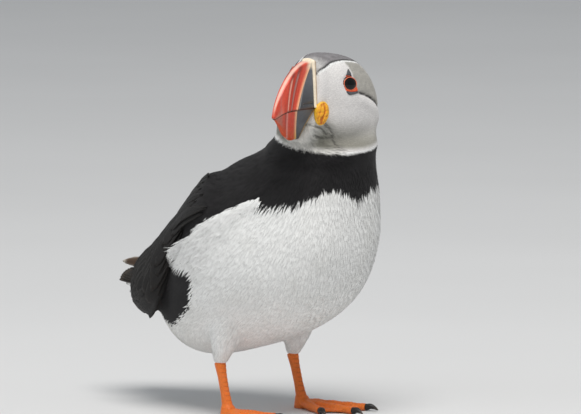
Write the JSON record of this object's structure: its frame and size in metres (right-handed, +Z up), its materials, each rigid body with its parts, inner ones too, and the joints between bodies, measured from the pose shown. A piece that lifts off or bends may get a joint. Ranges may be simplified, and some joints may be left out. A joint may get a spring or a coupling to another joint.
{
  "type": "bird model",
  "caption": "Life-size museum-type model of a standing black and white seabird with a tall triangular bill, its head turned over one shoulder.",
  "frame": {"origin": "centre of the bounding box on the floor the bird stands on", "axes": "+Z up, the breast faces -Y, the tail points to +Y, the bird's left side is +X"},
  "size_m": [0.0974, 0.1664, 0.1802],
  "materials": {
    "eye": "wet gloss",
    "eye_ring": "dull satin skin",
    "eye_plate": "dull horn",
    "rosette": "dull satin skin",
    "bill_rim": "dull horn",
    "bill": "satin horn",
    "head": "short dense feathers",
    "neck": "dense feathers",
    "torso": "dense feathers",
    "wing": "flight feathers",
    "tail": "tail feathers",
    "thigh": "short feathers",
    "leg": "scaled satin skin",
    "claw": "satin horn"
  },
  "bodies": {
    "root": {"bill_lower": "bill", "bill_rim": "bill_rim", "bill_upper": "bill", "claw_left_inner": "claw", "claw_left_middle": "claw", "claw_left_outer": "claw", "claw_right_inner": "claw", "claw_right_middle": "claw", "claw_right_outer": "claw", "eye_left": "eye", "eye_plate_lower_left": "eye_plate", "eye_plate_lower_right": "eye_plate", "eye_plate_upper_left": "eye_plate", "eye_plate_upper_right": "eye_plate", "eye_right": "eye", "eye_ring_left": "eye_ring", "eye_ring_right": "eye_ring", "foot_left": "leg", "foot_right": "leg", "head": "head", "neck": "neck", "rosette_left": "rosette", "rosette_right": "rosette", "shank_left": "leg", "shank_right": "leg", "tail": "tail", "thigh_left": "thigh", "thigh_right": "thigh", "torso": "torso", "wing_left": "wing", "wing_right": "wing"}
  },
  "joints": []
}
